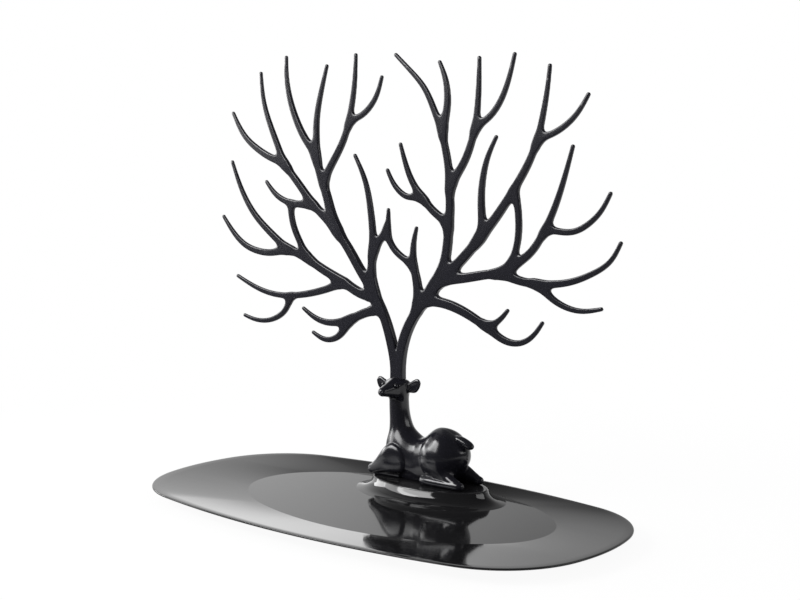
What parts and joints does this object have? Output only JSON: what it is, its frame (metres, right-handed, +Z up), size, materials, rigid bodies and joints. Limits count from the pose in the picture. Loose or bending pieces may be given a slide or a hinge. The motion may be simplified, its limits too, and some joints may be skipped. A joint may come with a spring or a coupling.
{
  "type": "jewellery tree stand",
  "caption": "Oval dish with a lying deer on a mound, whose antlers fan out into a flat tree for hanging necklaces and earrings.",
  "frame": {"origin": "centre of the stand's box, on the table under its pads", "axes": "+X along the tray towards the deer's rump, +Y to the back of the tray, +Z up"},
  "size_m": [0.3141, 0.152, 0.2574],
  "materials": {
    "tray_gloss": "high gloss",
    "pad_rubber": "matte",
    "deer_satin": "semi-gloss",
    "antler_satin": "satin"
  },
  "bodies": {
    "tray_body": {"tray": "tray_gloss", "foot_pads": "pad_rubber"},
    "deer_body": {"deer_front_shell": "deer_satin", "deer_back_shell": "deer_satin"},
    "antler_body": {"antler_tree": "antler_satin"}
  },
  "joints": [
    {"name": "deer_lift", "type": "slide", "parent": "tray_body", "child": "deer_body", "axis": [0, 0, 1], "range_m": [0, 0.02]},
    {"name": "antler_lift", "type": "slide", "parent": "deer_body", "child": "antler_body", "axis": [0, 0, 1], "range_m": [0, 0.03]}
  ]
}
